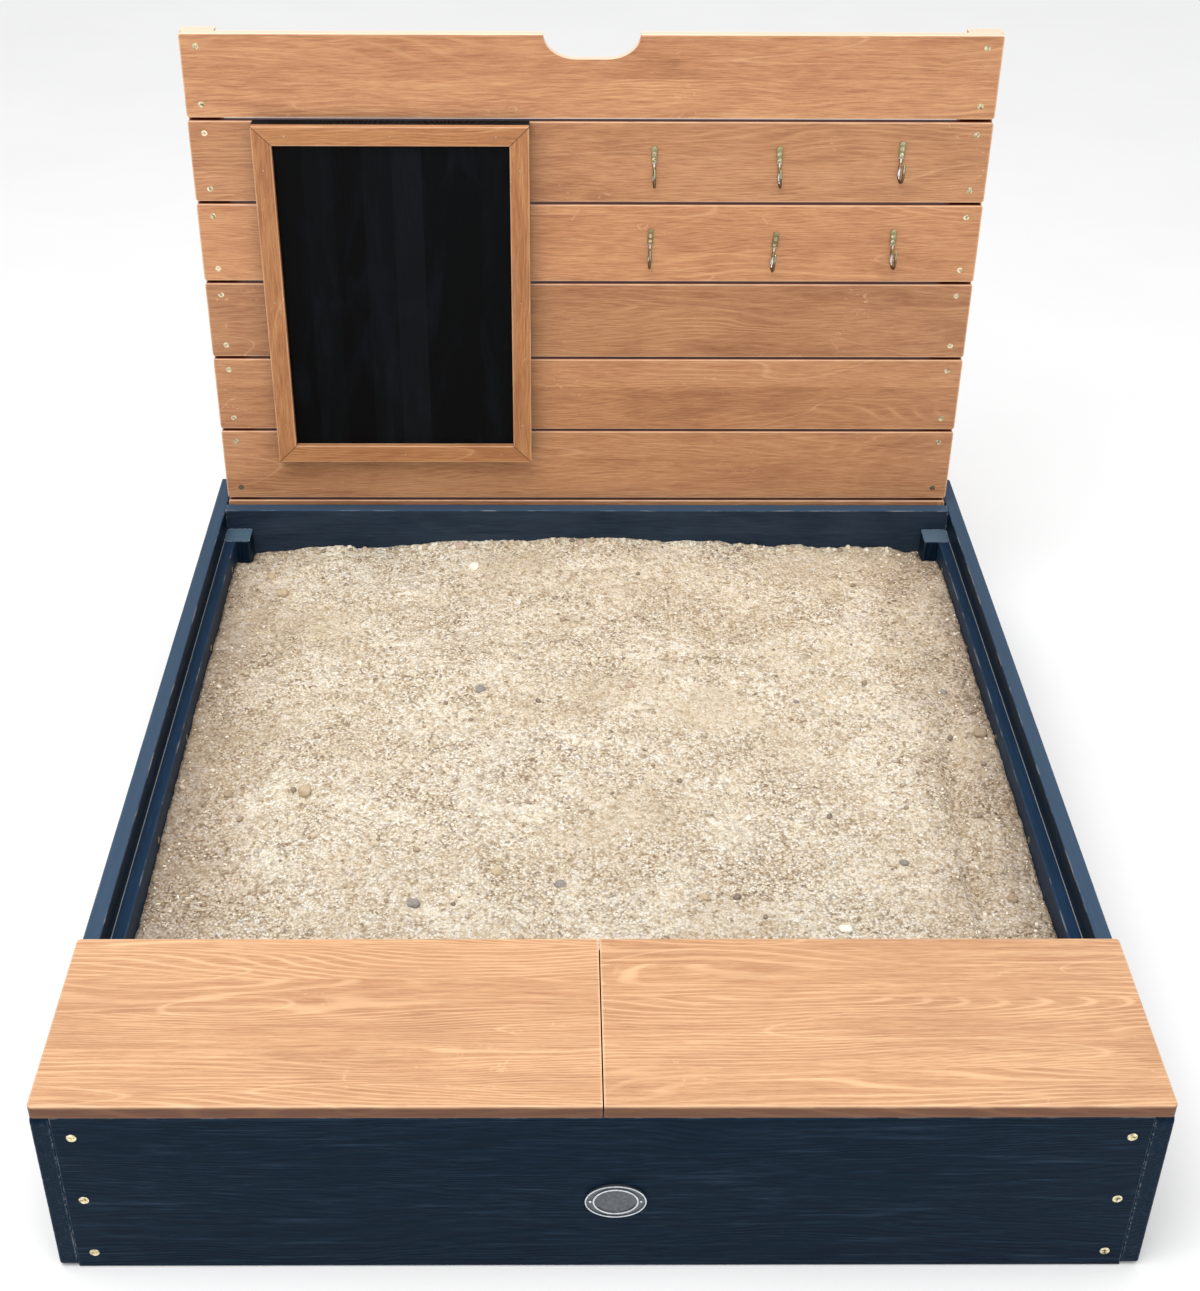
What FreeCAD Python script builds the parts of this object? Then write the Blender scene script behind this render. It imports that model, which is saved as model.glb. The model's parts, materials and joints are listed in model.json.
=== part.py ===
"""A child's wooden sandbox with a slatted cover that stands in a slot behind it as a play wall.

Every sub-part is an object of one parametric document. Its sizes and place are bound to the
spreadsheet "sizes". Millimetres, +Z up, the front faces -Y, and the origin is on the ground
under the middle of the bounding box.
"""
import FreeCAD, Part
import math
import os

DOC = FreeCAD.newDocument("sandbox_with_cover")
SHEET = DOC.addObject("Spreadsheet::Sheet", "sizes")
PARTS = []

# ---------------------------------------------------------------- driving dimensions
DRIVING = {
    # box
    "box_width": 1060,            # over the two side boards
    "box_length": 1226,           # length of a side board
    "box_height": 210,
    "board": 18,                  # thickness of the box boards
    "board_edge": 2,              # rounding of the boards' long edges
    "board_corner": 8,            # rounding of the side boards' corners, seen from the side
    "back_inset": 1128,           # front edge of the box to the inner face of the back board
    "slot_depth": 35,             # room for the standing cover
    "post": 36,                   # section of the corner posts
    "post_corner": 4,
    "ledge_drop": 30,             # the ledges lie this far below the top of the box
    "ledge_width": 16,
    "ledge_height": 44,
    "ledge_screw_end": 40,        # from each end of a ledge to its first screw
    # bench and storage box
    "bench_depth": 226,
    "lid_thickness": 15,
    "lid_gap": 1.4,               # between the two lids
    "lid_corner": 5,
    "lid_edge": 2,
    "cleat_width": 36,
    "cleat_thickness": 16,
    "cleat_length": 120,
    "floor_thickness": 8,
    # sand and ground sheet
    "sheet_thickness": 1,
    "sand_low": 146,              # level of the sand along the walls
    "sand_high": 164,             # level of the heap in the middle
    "sand_slope": 110,            # width of the heap's slope
    "sand_margin": 24,            # the upper sand stays this far from the side boards
    # cover
    "cover_width": 1020,
    "slat_height": 105.5,
    "slat_gap": 4,
    "slat_thickness": 12,
    "slat_corner": 4,
    "slat_edge": 1.5,
    "batten_width": 42,
    "batten_thickness": 18,
    "notch_top": 122,             # width of the finger notch at its mouth
    "notch_depth": 31,
    "notch_side": 42,             # width of each of its two elliptical sides
    # chalkboard, measured from the middle and the foot of the cover
    "chalk_left": 428,            # from the middle of the cover to its outer left edge
    "chalk_width": 350,
    "chalk_foot": 290,
    "chalk_height": 474,
    "chalk_thickness": 18,
    "frame_width": 25,
    "frame_thickness": 8,
    "frame_edge": 1,
    # hooks
    "hook_first": 81,             # from the middle of the cover to the first column
    "hook_step": 158,
    "hook_high": 722,             # height of the upper row's upper screws
    "hook_low": 612,
    "hook_reach": 18,
    "hook_wire": 3.4,
    "hook_plate": 2.2,
    "hook_plate_width": 7,
    "hook_plate_up": 6,           # from the upper screw to the centres of the plate's round ends
    "hook_plate_down": 10,
    "hook_screw_step": 7.5,
    "hook_drop": 34,              # from the upper screw to the middle of the bend
    "hook_tip": 16.5,
    "hook_leaf_width": 4.6,       # the wire is hammered flat where it starts to bend
    "hook_leaf_height": 15,
    "hook_leaf_thickness": 3,
    # fasteners
    "screw_head": 9.6,
    "screw_shank": 4,
    "screw_length": 45,
    "slat_screw_head": 7.6,
    "slat_screw_shank": 3.2,
    "slat_screw_length": 26,
    "small_screw_head": 5,
    "small_screw_shank": 2.4,
    "small_screw_length": 12,
    # badge
    "badge_width": 59,
    "badge_height": 44,
    "badge_thickness": 3,
    "badge_rim": 1.2,             # width of its raised rim
    "badge_ring": 1.5,            # width of the raised ring inside the rim
    "badge_ring_side": 7.5,       # from the outer edge to the ring, at the sides
    "badge_ring_top": 4.6,        # and above and below
    "badge_pin_side": 24.4,       # from the middle to each pin
    "badge_side": 13.4,           # to the right of the middle
    "badge_up": 97,
    # lid hinges
    "hinge_width": 60,
    "hinge_leaf": 1.2,
    "hinge_leaf_height": 12,
    "hinge_knuckle": 2.6,
    "hinge_stand": 0.4,           # between the knuckles and the wood
    "hinge_relief": 3,            # a leaf keeps this far from the other leaf's knuckles
    "hinge_pin": 1.3,
    "hinge_play": 0.05,
    "hinge_from_end": 110,
}
# Places worked out from the driving dimensions.
DERIVED = {
    "half_width": "=box_width / 2",
    "inner_half": "=box_width / 2 - board",
    "front_face": "=badge_thickness - (box_length + badge_thickness) / 2",
    "back_inner": "=front_face + back_inset",
    "back_outer": "=back_inner + board",
    "slot_rear": "=back_outer + slot_depth",
    "ledge_top": "=box_height - ledge_drop",
    "bench_rear": "=front_face + bench_depth",
    "ledge_length": "=back_inset - bench_depth - post",
    "divider_front": "=bench_rear - board",
    "slat_pitch": "=slat_height + slat_gap",
    "cover_height": "=8 * slat_height + 7 * slat_gap",
    "cover_front": "=back_outer + (slot_depth - slat_thickness - batten_thickness) / 2",
    "cover_back": "=cover_front + slat_thickness",
    "hinge_y": "=bench_rear + hinge_knuckle + hinge_stand",
    "lid_width": "=(box_width - lid_gap) / 2",
}


def fill_sheet():
    """Writes the driving and the derived dimensions, one aliased cell each."""
    for row, (alias, value) in enumerate(list(DRIVING.items()) + list(DERIVED.items()), start=1):
        SHEET.set(f"A{row}", alias)
        SHEET.set(f"B{row}", str(value))
        SHEET.setAlias(f"B{row}", alias)
    DOC.recompute()


fill_sheet()


def size(alias):
    """The number in a cell of the sheet."""
    return float(SHEET.get(alias))


def bind(obj, **sizes):
    """Binds properties of an object to expressions over the sheet's aliases."""
    for prop, expression in sizes.items():
        obj.setExpression(prop, with_sheet(expression))
    return obj


def with_sheet(expression):
    """Puts the sheet's name before each alias of an expression."""
    words = []
    word = ""
    for letter in str(expression) + " ":
        if letter.isalnum() or letter == "_" or (letter == "." and word and word[0].isdigit()):
            word += letter
            continue
        known = word in DRIVING or word in DERIVED
        words.append(f"sizes.{word}" if known else word)
        words.append(letter)
        word = ""
    return "".join(words).strip()


def place(obj, x="0", y="0", z="0", turn=None):
    """Gives an object its Placement: a fixed turn, and a position bound to the sheet."""
    obj.Placement = FreeCAD.Placement(FreeCAD.Vector(), turn or FreeCAD.Rotation())
    obj.setExpression("Placement.Base.x", with_sheet(x))
    obj.setExpression("Placement.Base.y", with_sheet(y))
    obj.setExpression("Placement.Base.z", with_sheet(z))
    return obj


def box(name, length, width, height, x, y, z):
    """A block with its lowest corner at x, y, z."""
    obj = DOC.addObject("Part::Box", name)
    bind(obj, Length=length, Width=width, Height=height)
    return place(obj, x, y, z)


def cylinder(name, radius, height, x, y, z, turn=None):
    """A round bar that starts at x, y, z."""
    obj = DOC.addObject("Part::Cylinder", name)
    bind(obj, Radius=radius, Height=height)
    return place(obj, x, y, z, turn)


def cone(name, radius1, radius2, height, x, y, z, turn=None):
    """A tapered round bar that starts at x, y, z with radius1."""
    obj = DOC.addObject("Part::Cone", name)
    bind(obj, Radius1=radius1, Radius2=radius2, Height=height)
    return place(obj, x, y, z, turn)


def fuse(name, shapes):
    """One object of several: touching ones become one solid, apart ones stay separate solids."""
    if len(shapes) == 1:
        return shapes[0]
    obj = DOC.addObject("Part::MultiFuse", name)
    obj.Shapes = shapes
    return obj


def cut(name, base, tool):
    """base without tool."""
    obj = DOC.addObject("Part::Cut", name)
    obj.Base = base
    obj.Tool = tool
    return obj


def rounded(name, base, radius, pick):
    """base with the edges that pick(edge) chooses rounded to the radius of a sheet alias."""
    DOC.recompute()
    obj = DOC.addObject("Part::Fillet", name)
    obj.Base = base
    r = size(radius)
    obj.Edges = [(n, r, r) for n, edge in enumerate(base.Shape.Edges, start=1) if pick(edge)]
    return obj


def along(axis):
    """Chooses the straight edges that run along axis 0, 1 or 2."""
    def pick(edge):
        if len(edge.Vertexes) != 2:
            return False
        run = edge.Vertexes[1].Point - edge.Vertexes[0].Point
        return abs(run[axis]) > 0.999 * run.Length
    return pick


def part(obj, label):
    """Registers obj as a sub-part of the model; its label names its file."""
    obj.Label = label
    PARTS.append(obj)
    return obj


# ---------------------------------------------------------------- fasteners
X_AXIS = FreeCAD.Vector(1, 0, 0)
Y_AXIS = FreeCAD.Vector(0, 1, 0)
# Turns that point a thing made along +Z in another direction.
TO_BACK = FreeCAD.Rotation(X_AXIS, -90)
TO_FRONT = FreeCAD.Rotation(X_AXIS, 90)
TO_RIGHT = FreeCAD.Rotation(Y_AXIS, 90)
TO_LEFT = FreeCAD.Rotation(Y_AXIS, -90)


def screw_body(name, kind):
    """The outer form of a countersunk wood screw, pointing up, with its head at the origin."""
    head, shank, length = f"{kind}head", f"{kind}shank", f"{kind}length"
    top = cone(name + "_head", f"{head} / 2", f"{shank} / 2", f"({head} - {shank}) / 2", "0", "0", "0")
    bar = cylinder(name + "_bar", f"{shank} / 2", f"{length} * 0.8", "0", "0", "0")
    tip = cone(name + "_tip", f"{shank} / 2", "0.3", f"{length} * 0.2", "0", "0", f"{length} * 0.8")
    return fuse(name + "_whole", [top, bar, tip])


def screw(name, kind, x, y, z, turn):
    """A countersunk cross-head wood screw whose head lies flush at x, y, z and points into the wood."""
    head = f"{kind}head"
    recess = fuse(name + "_cross", [
        box(f"{name}_cross{n}", f"{head} * {long}", f"{head} * {wide}", f"{head} * 0.2",
            f"0 - {head} * {long} / 2", f"0 - {head} * {wide} / 2", f"0 - {head} * 0.04")
        for n, (long, wide) in enumerate(((0.5, 0.12), (0.12, 0.5)))])
    return place(cut(name, screw_body(name, kind), recess), x, y, z, turn)


def screw_set(label, kind, places):
    """A group of screws as one sub-part, and the matching holes as one cutting tool."""
    screws = []
    holes = []
    for n, (x, y, z, turn) in enumerate(places):
        screws.append(screw(f"{label}_{n}", kind, x, y, z, turn))
        holes.append(place(screw_body(f"{label}_{n}_hole", kind), x, y, z, turn))
    part(fuse(label + "_all", screws), label)
    return fuse(label + "_holes", holes)


SIDES = (("left", -1), ("right", 1))
POST_X = "(inner_half - post / 2)"

# Heights of the box's screws above the ground.
FRONT_HEIGHTS = (21, 97, 183)
BACK_HEIGHTS = (21, 92, 163)
FRONT_POST_HEIGHTS = (58, 140)
BACK_POST_HEIGHTS = (56, 128)
BOARD_END_HEIGHTS = (30, 105, 180)
# Where the side boards are screwed, along their length.
SIDE_ROWS = (("front_face + board + post / 2", FRONT_POST_HEIGHTS),
             ("divider_front + board / 2", BOARD_END_HEIGHTS),
             ("back_inner - post / 2", BACK_POST_HEIGHTS),
             ("slot_rear + board / 2", BOARD_END_HEIGHTS))
LEDGE_SCREWS = 5

front_holes = screw_set("front_board_screws", "screw_", [
    (f"{s} * {POST_X}", "front_face", str(z), TO_BACK) for _, s in SIDES for z in FRONT_HEIGHTS])
back_holes = screw_set("back_board_screws", "screw_", [
    (f"{s} * {POST_X}", "back_outer", str(z), TO_FRONT) for _, s in SIDES for z in BACK_HEIGHTS])
side_holes = screw_set("side_board_screws", "screw_", [
    (f"{s} * half_width", y, str(z), TO_LEFT if s > 0 else TO_RIGHT)
    for _, s in SIDES for y, heights in SIDE_ROWS for z in heights])
ledge_holes = screw_set("ledge_screws", "slat_screw_", [
    (f"{s} * (inner_half - ledge_width)",
     f"bench_rear + ledge_screw_end + (ledge_length - 2 * ledge_screw_end) * {n} / {LEDGE_SCREWS - 1}",
     "ledge_top - ledge_height / 2", TO_RIGHT if s > 0 else TO_LEFT)
    for _, s in SIDES for n in range(LEDGE_SCREWS)])


# ---------------------------------------------------------------- box
def drilled(name, base, holes):
    """base with screw holes cut into it."""
    for n, tool in enumerate(holes):
        base = cut(f"{name}_drilled{n}", base, tool)
    return base


def cross_board(label, y, holes):
    """A board between the two side boards, with its top edges eased."""
    plank = box(label + "_plank", "2 * inner_half", "board", "box_height", "0 - inner_half", y, "0")
    plank = rounded(label + "_eased", plank, "board_edge",
                    lambda e: along(0)(e) and e.CenterOfMass.z > size("box_height") / 2)
    if label == "front_board":
        plank = rounded(label + "_outline", plank, "board_edge", front_outline)
    part(drilled(label, plank, holes), label)


def front_outline(edge):
    """Chooses the foot and the two ends of the front board's outer face."""
    outer = edge.CenterOfMass.y < size("front_face") + 0.1
    below_top = edge.CenterOfMass.z < size("box_height") * 0.9
    return outer and below_top and (along(0)(edge) or along(2)(edge))


cross_board("back_board", "back_inner", [back_holes])
cross_board("slot_board", "slot_rear", [side_holes])

for side, s in SIDES:
    plank = box(f"side_plank_{side}", "board", "box_length", "box_height",
                f"{s} * (half_width - board / 2) - board / 2", "front_face", "0")
    plank = rounded(f"side_corners_{side}", plank, "board_corner", along(0))
    plank = rounded(f"side_eased_{side}", plank, "board_edge",
                    lambda e: along(1)(e) and e.CenterOfMass.z > size("box_height") / 2)
    part(drilled(f"side_board_{side}", plank, [side_holes, ledge_holes]), f"side_board_{side}")

    for place_name, y, top, holes in (
            ("front", "front_face + board", "box_height", [front_holes, side_holes]),
            ("back", "back_inner - post", "ledge_top", [back_holes, side_holes])):
        name = f"corner_post_{place_name}_{side}"
        block = box(name + "_block", "post", "post", top, f"{s} * {POST_X} - post / 2", y, "0")
        block = rounded(name + "_round", block, "post_corner", along(2))
        part(drilled(name, block, holes), name)

    strip = box(f"ledge_strip_{side}", "ledge_width", "ledge_length", "ledge_height",
                f"{s} * (inner_half - ledge_width / 2) - ledge_width / 2", "bench_rear",
                "ledge_top - ledge_height")
    strip = rounded(f"ledge_eased_{side}", strip, "board_edge",
                    lambda e: along(1)(e) and e.CenterOfMass.z > size("ledge_top") - 1)
    part(drilled(f"cover_ledge_{side}", strip, [ledge_holes]), f"cover_ledge_{side}")


def storage_floor():
    """The floor of the storage box, cut out around the two front posts."""
    panel = box("floor_panel", "2 * inner_half", "bench_depth - 2 * board", "floor_thickness",
                "0 - inner_half", "front_face + board", "0")
    corners = fuse("floor_corners", [
        box(f"floor_corner_{side}", "post", "post", "floor_thickness * 3",
            f"{s} * {POST_X} - post / 2", "front_face + board", "0 - floor_thickness")
        for side, s in SIDES])
    part(cut("floor_cut", panel, corners), "storage_floor")


def sandpit_filling():
    """The ground sheet and the sand, cut out around the two rear posts and the ledges."""
    for label, level, thickness in (("ground_sheet", "0", "sheet_thickness"),
                                    ("sand_base", "sheet_thickness", "sand_low - sheet_thickness")):
        slab = box(label + "_slab", "2 * inner_half", "back_inset - bench_depth", thickness,
                   "0 - inner_half", "bench_rear", level)
        around = [box(f"{label}_post_{side}", "post", "post", "box_height",
                      f"{s} * {POST_X} - post / 2", "back_inner - post", "0 - 5") for side, s in SIDES]
        around += [box(f"{label}_ledge_{side}", "ledge_width", "ledge_length", "ledge_height",
                       f"{s} * (inner_half - ledge_width / 2) - ledge_width / 2", "bench_rear",
                       "ledge_top - ledge_height") for side, s in SIDES]
        pieces = cut(label + "_cut", slab, fuse(label + "_around", around))
        if label == "ground_sheet":
            part(pieces, label)
    heap = DOC.addObject("Part::Wedge", "sand_heap")
    bind(heap, Xmin="0", Ymin="0", Zmin="0", X2min="sand_slope", Z2min="sand_slope",
         Xmax="2 * inner_half - 2 * sand_margin", Ymax="sand_high - sand_low",
         Zmax="ledge_length - 2 * sand_margin",
         X2max="2 * inner_half - 2 * sand_margin - sand_slope",
         Z2max="ledge_length - 2 * sand_margin - sand_slope / 4")
    place(heap, "0 - inner_half + sand_margin", "back_inner - post - sand_margin", "sand_low", TO_FRONT)
    part(fuse("sand", [pieces, heap]), "sand_fill")


storage_floor()
sandpit_filling()


# ---------------------------------------------------------------- badge
def badge():
    """A plain oval badge plate with a raised rim and a raised ring, fixed by two small pins."""
    def oval(name, side, top, thickness, out):
        """An oval block set in from the badge's outline by side and top."""
        plate = DOC.addObject("Part::Ellipse", name + "_outline")
        bind(plate, MajorRadius=f"badge_width / 2 - {side}", MinorRadius=f"badge_height / 2 - {top}")
        solid = DOC.addObject("Part::Extrusion", name)
        solid.Base = plate
        solid.Dir = FreeCAD.Vector(0, 0, 1)
        solid.Solid = True
        bind(solid, LengthFwd=thickness)
        return place(solid, "badge_side", f"front_face - {out}", "badge_up", TO_FRONT)
    plate = oval("badge_plate", "0", "0", "badge_thickness", "0")
    field = oval("badge_field", "badge_rim", "badge_rim", "badge_thickness", "badge_thickness * 0.6")
    ring = cut("badge_ring_cut",
               oval("badge_ring_outer", "badge_ring_side", "badge_ring_top", "badge_thickness", "0"),
               oval("badge_ring_inner", "(badge_ring_side + badge_ring)", "(badge_ring_top + badge_ring)",
                    "badge_thickness", "badge_thickness * 0.6"))
    pins = [cylinder(f"badge_pin_{side}", "1.3", "badge_thickness * 0.85 + 8",
                     f"badge_side + {s} * badge_pin_side", "front_face + 8", "badge_up", TO_FRONT)
            for side, s in SIDES]
    pin_group = part(fuse("badge_pin_pair", pins), "badge_pins")
    body = fuse("badge_body", [cut("badge_rim_cut", plate, field), ring])
    part(cut("badge_drilled", body, pin_group), "badge")
    return pin_group


badge_pins = badge()
cross_board("front_board", "front_face", [front_holes, badge_pins])


# ---------------------------------------------------------------- bench lids
def butt_hinge(name, start):
    """One butt hinge: the leaf on the divider, the leaf on the lid, and the pin."""
    leaves = {}
    for which, plate, tab, turns in (("fixed", "0 - hinge_leaf_height", "0 - hinge_relief", (0, 2, 4)),
                                     ("moving", "hinge_relief", "0", (1, 3))):
        shapes = [box(f"{name}_{which}_plate", "hinge_width", "hinge_leaf",
                      "hinge_leaf_height - hinge_relief", start, "bench_rear", f"box_height + {plate}")]
        for n in turns:
            x = f"{start} + hinge_width * {n} / 5 + 0.2"
            shapes.append(box(f"{name}_{which}_tab{n}", "hinge_width / 5 - 0.4", "hinge_leaf", "hinge_relief",
                              x, "bench_rear", f"box_height + {tab}"))
            shapes.append(cylinder(f"{name}_{which}_knuckle{n}", "hinge_knuckle", "hinge_width / 5 - 0.4",
                                   x, "hinge_y", "box_height", TO_RIGHT))
        leaves[which] = fuse(f"{name}_{which}_blank", shapes)
    pin = cylinder(f"{name}_pin", "hinge_pin", "hinge_width", start, "hinge_y", "box_height", TO_RIGHT)
    bore = cylinder(f"{name}_bore", "hinge_pin + hinge_play", "hinge_width + 2", f"{start} - 1", "hinge_y",
                    "box_height", TO_RIGHT)
    leaves = {which: cut(f"{name}_{which}", blank, bore) for which, blank in leaves.items()}
    return leaves["fixed"], leaves["moving"], pin


LEAF_MIDDLE = "(hinge_relief + hinge_leaf_height) / 2"
divider_screw_places = []
hinge_leaves = []
hinge_pins = []


def bench_lid(side, s):
    """A lid with its two cleats, and the moving leaves of its two hinges."""
    panel = box(f"lid_panel_{side}", "lid_width", "bench_depth", "lid_thickness",
                "lid_gap / 2" if s > 0 else "0 - lid_gap / 2 - lid_width", "front_face", "box_height")
    panel = rounded(f"lid_corners_{side}", panel, "lid_corner",
                    lambda e: along(2)(e) and abs(e.CenterOfMass.x) > size("half_width") / 2)
    panel = rounded(f"lid_eased_{side}", panel, "lid_edge",
                    lambda e: along(0)(e) and e.CenterOfMass.z > size("box_height") + 1)
    cleat_screws = []
    cleats = []
    for end, x in (("outer", f"{s} * (half_width - 90)"), ("inner", f"{s} * 75")):
        name = f"lid_cleat_{side}_{end}"
        block = box(name + "_block", "cleat_width", "cleat_length", "cleat_thickness",
                    f"{x} - cleat_width / 2", "front_face + (bench_depth - cleat_length) / 2",
                    "box_height - cleat_thickness")
        block = rounded(name + "_eased", block, "lid_edge",
                        lambda e: along(1)(e) and e.CenterOfMass.z < size("box_height") - 1)
        cleats.append((name, block))
        cleat_screws += [(x, f"front_face + bench_depth / 2 + {t} * cleat_length * 0.33",
                          "box_height - cleat_thickness", None) for t in (-1, 1)]
    cleat_holes = screw_set(f"lid_cleat_screws_{side}", "slat_screw_", cleat_screws)
    for name, block in cleats:
        part(cut(name, block, cleat_holes), name)

    moving = []
    lid_screw_places = []
    for end, x in (("outer", f"{s} * (half_width - hinge_from_end)"), ("inner", f"{s} * hinge_from_end")):
        fixed_leaf, moving_leaf, pin = butt_hinge(f"hinge_{side}_{end}", f"({x} - hinge_width / 2)")
        hinge_leaves.append(fixed_leaf)
        hinge_pins.append(pin)
        moving.append(moving_leaf)
        for t in (-1, 1):
            screw_x = f"{x} + {t} * hinge_width * 0.33"
            lid_screw_places.append(
                (screw_x, "bench_rear + hinge_leaf", f"box_height + {LEAF_MIDDLE}", TO_FRONT))
            divider_screw_places.append(
                (screw_x, "bench_rear + hinge_leaf", f"box_height - {LEAF_MIDDLE}", TO_FRONT))
    leaf_holes = screw_set(f"lid_hinge_screws_{side}", "small_screw_", lid_screw_places)
    leaves = fuse(f"hinge_moving_{side}", moving)
    part(cut(f"lid_hinge_leaves_{side}", leaves, leaf_holes), f"lid_hinge_leaves_{side}")
    part(drilled(f"seat_lid_{side}", panel, [cleat_holes, leaf_holes]), f"seat_lid_{side}")


for side, s in SIDES:
    bench_lid(side, s)
divider_leaf_holes = screw_set("divider_hinge_screws", "small_screw_", divider_screw_places)
part(cut("divider_leaves", fuse("divider_leaves_blank", hinge_leaves), divider_leaf_holes),
     "divider_hinge_leaves")
part(fuse("hinge_pins_all", hinge_pins), "lid_hinge_pins")
cross_board("storage_divider", "divider_front", [side_holes, divider_leaf_holes])


# ---------------------------------------------------------------- cover
SLATS = range(1, 9)               # the first is the top one, with the finger notch


def slat_foot(n):
    """The height of a slat's lower edge."""
    return f"((8 - {n}) * slat_pitch)"


cover_holes = screw_set("cover_screws", "slat_screw_", [
    (f"{s} * (cover_width / 2 - 20)", "cover_front", f"{slat_foot(n)} + slat_height * {share}", TO_BACK)
    for n in SLATS for _, s in SIDES for share in (0.16, 0.85)] + [
    (x, "cover_back", z, TO_FRONT)
    for x in ("(0 - chalk_left + 45)", "(0 - chalk_left + chalk_width - 45)")
    for z in ("(chalk_foot + 75)", "(chalk_foot + chalk_height - 75)")])

# The hooks sit a little unevenly. For each: millimetres to the right of and above its regular
# place, degrees that its lower end leans to the right, degrees that its bend turns to the right.
HOOK_ROWS = (("upper", "hook_high", ((0, 0, 1, 0), (2, 0, 2.5, 2), (0, 7, -2, 12))),
             ("lower", "hook_low", ((-2, 0, -1, 0), (4, -4, -5, 5), (0, 0, 0.5, 12))))
hook_places = [
    (f"(hook_first + {n} * hook_step + {aside})", f"({height} + {up})", lean, turn, f"hook_{row}_{n + 1}")
    for row, height, hooks in HOOK_ROWS for n, (aside, up, lean, turn) in enumerate(hooks)]
hook_holes = screw_set("hook_screws", "small_screw_", [
    (f"{x} + {down} * hook_screw_step * {math.sin(math.radians(lean)):.5f}", "cover_front - hook_plate",
     f"{z} - {down} * hook_screw_step * {math.cos(math.radians(lean)):.5f}", TO_BACK)
    for x, z, lean, _, _ in hook_places for down in (0, 1)])


def finger_notch():
    """The tool that cuts the notch in the top slat's upper edge: a flat middle and elliptical sides."""
    middle = "(notch_top / 2 - notch_side)"
    shapes = [box("notch_middle", f"2 * {middle}", "slat_thickness * 3", "notch_depth + 20",
                  f"0 - {middle}", "cover_front - slat_thickness", "cover_height - notch_depth")]
    for side, s in SIDES:
        outline = DOC.addObject("Part::Ellipse", f"notch_outline_{side}")
        bind(outline, MajorRadius="notch_side", MinorRadius="notch_depth")
        bar = DOC.addObject("Part::Extrusion", f"notch_side_{side}")
        bar.Base = outline
        bar.Dir = FreeCAD.Vector(0, 0, 1)
        bar.Solid = True
        bind(bar, LengthFwd="slat_thickness * 3")
        shapes.append(place(bar, f"{s} * {middle}", "cover_back + slat_thickness", "cover_height", TO_FRONT))
    return fuse("notch", shapes)


def slat(n):
    """One slat of the cover."""
    name = f"cover_slat_{n}"
    plank = box(name + "_plank", "cover_width", "slat_thickness", "slat_height",
                "0 - cover_width / 2", "cover_front", slat_foot(n))
    plank = rounded(name + "_corners", plank, "slat_corner", along(1))
    plank = rounded(name + "_eased", plank, "slat_edge",
                    lambda e: along(0)(e) and e.CenterOfMass.y < size("cover_front") + 1)
    if n == 1:
        plank = cut(name + "_notched", plank, finger_notch())
    part(drilled(name, plank, [cover_holes, hook_holes]), name)


for n in SLATS:
    slat(n)

for side, s in SIDES:
    bar = box(f"batten_bar_{side}", "batten_width", "batten_thickness", "cover_height",
              f"{s} * (cover_width - batten_width) / 2 - batten_width / 2", "cover_back", "0")
    bar = rounded(f"batten_eased_{side}", bar, "board_edge",
                  lambda e: along(2)(e) and e.CenterOfMass.y > size("cover_back") + 1)
    part(cut(f"cover_batten_{side}_drilled", bar, cover_holes), f"cover_batten_{side}")


# ---------------------------------------------------------------- chalkboard
CHALK_LEFT = "(0 - chalk_left)"
CHALK_FRONT = "(cover_front - chalk_thickness)"


def mitred_frame():
    """The four mitred strips around the board's front, and the brads that hold them."""
    brads = []
    strips = []
    corners = ((CHALK_LEFT, "chalk_foot", "chalk_width", "bottom"),
               (f"({CHALK_LEFT} + chalk_width)", "chalk_foot", "chalk_height", "right"),
               (f"({CHALK_LEFT} + chalk_width)", "(chalk_foot + chalk_height)", "chalk_width", "top"),
               (CHALK_LEFT, "(chalk_foot + chalk_height)", "chalk_height", "left"))
    for n, (x, z, length, where) in enumerate(corners):
        turn = FreeCAD.Rotation(Y_AXIS, -90 * n)
        strip = DOC.addObject("Part::Wedge", f"frame_strip_{where}")
        bind(strip, Xmin="0", Ymin="0", Zmin="0", Z2min="0", Xmax=length, Ymax="frame_width",
             Zmax="frame_thickness", Z2max="frame_thickness", X2min="frame_width",
             X2max=f"{length} - frame_width")
        place(strip, x, CHALK_FRONT, z, turn * TO_FRONT)
        front = "cover_front - chalk_thickness - frame_thickness"
        run = turn.multVec(X_AXIS)
        into = turn.multVec(FreeCAD.Vector(0, 0, 1))
        for k, share in enumerate((0.12, 0.5, 0.88)):
            brads.append(cylinder(
                f"brad_{where}_{k}", "0.9", "18",
                f"{x} + {run.x:.0f} * {length} * {share} + {into.x:.0f} * frame_width / 2", front,
                f"{z} + {run.z:.0f} * {length} * {share} + {into.z:.0f} * frame_width / 2", TO_BACK))
        strips.append((where, strip))
    brad_group = part(fuse("brads_all", brads), "frame_brads")
    for where, strip in strips:
        eased = rounded(f"frame_eased_{where}", strip, "frame_edge",
                        lambda e: (along(0)(e) or along(2)(e))
                        and e.CenterOfMass.y < size("cover_front") - size("chalk_thickness") - 1)
        part(cut(f"frame_drilled_{where}", eased, brad_group), f"chalkboard_frame_{where}")
    return brad_group


def chalkboard():
    """The painted board and its frame."""
    brad_group = mitred_frame()
    panel = box("chalk_panel", "chalk_width", "chalk_thickness", "chalk_height",
                CHALK_LEFT, CHALK_FRONT, "chalk_foot")
    part(drilled("chalk_panel", panel, [cover_holes, brad_group]), "chalkboard_panel")


chalkboard()


# ---------------------------------------------------------------- hooks
# A turn that lays a half ring open side up, from the wall down and out towards -Y.
HOOK_BEND = FreeCAD.Rotation(Y_AXIS, FreeCAD.Vector(0, 0, -1), FreeCAD.Vector(-1, 0, 0), "XYZ")


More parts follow.
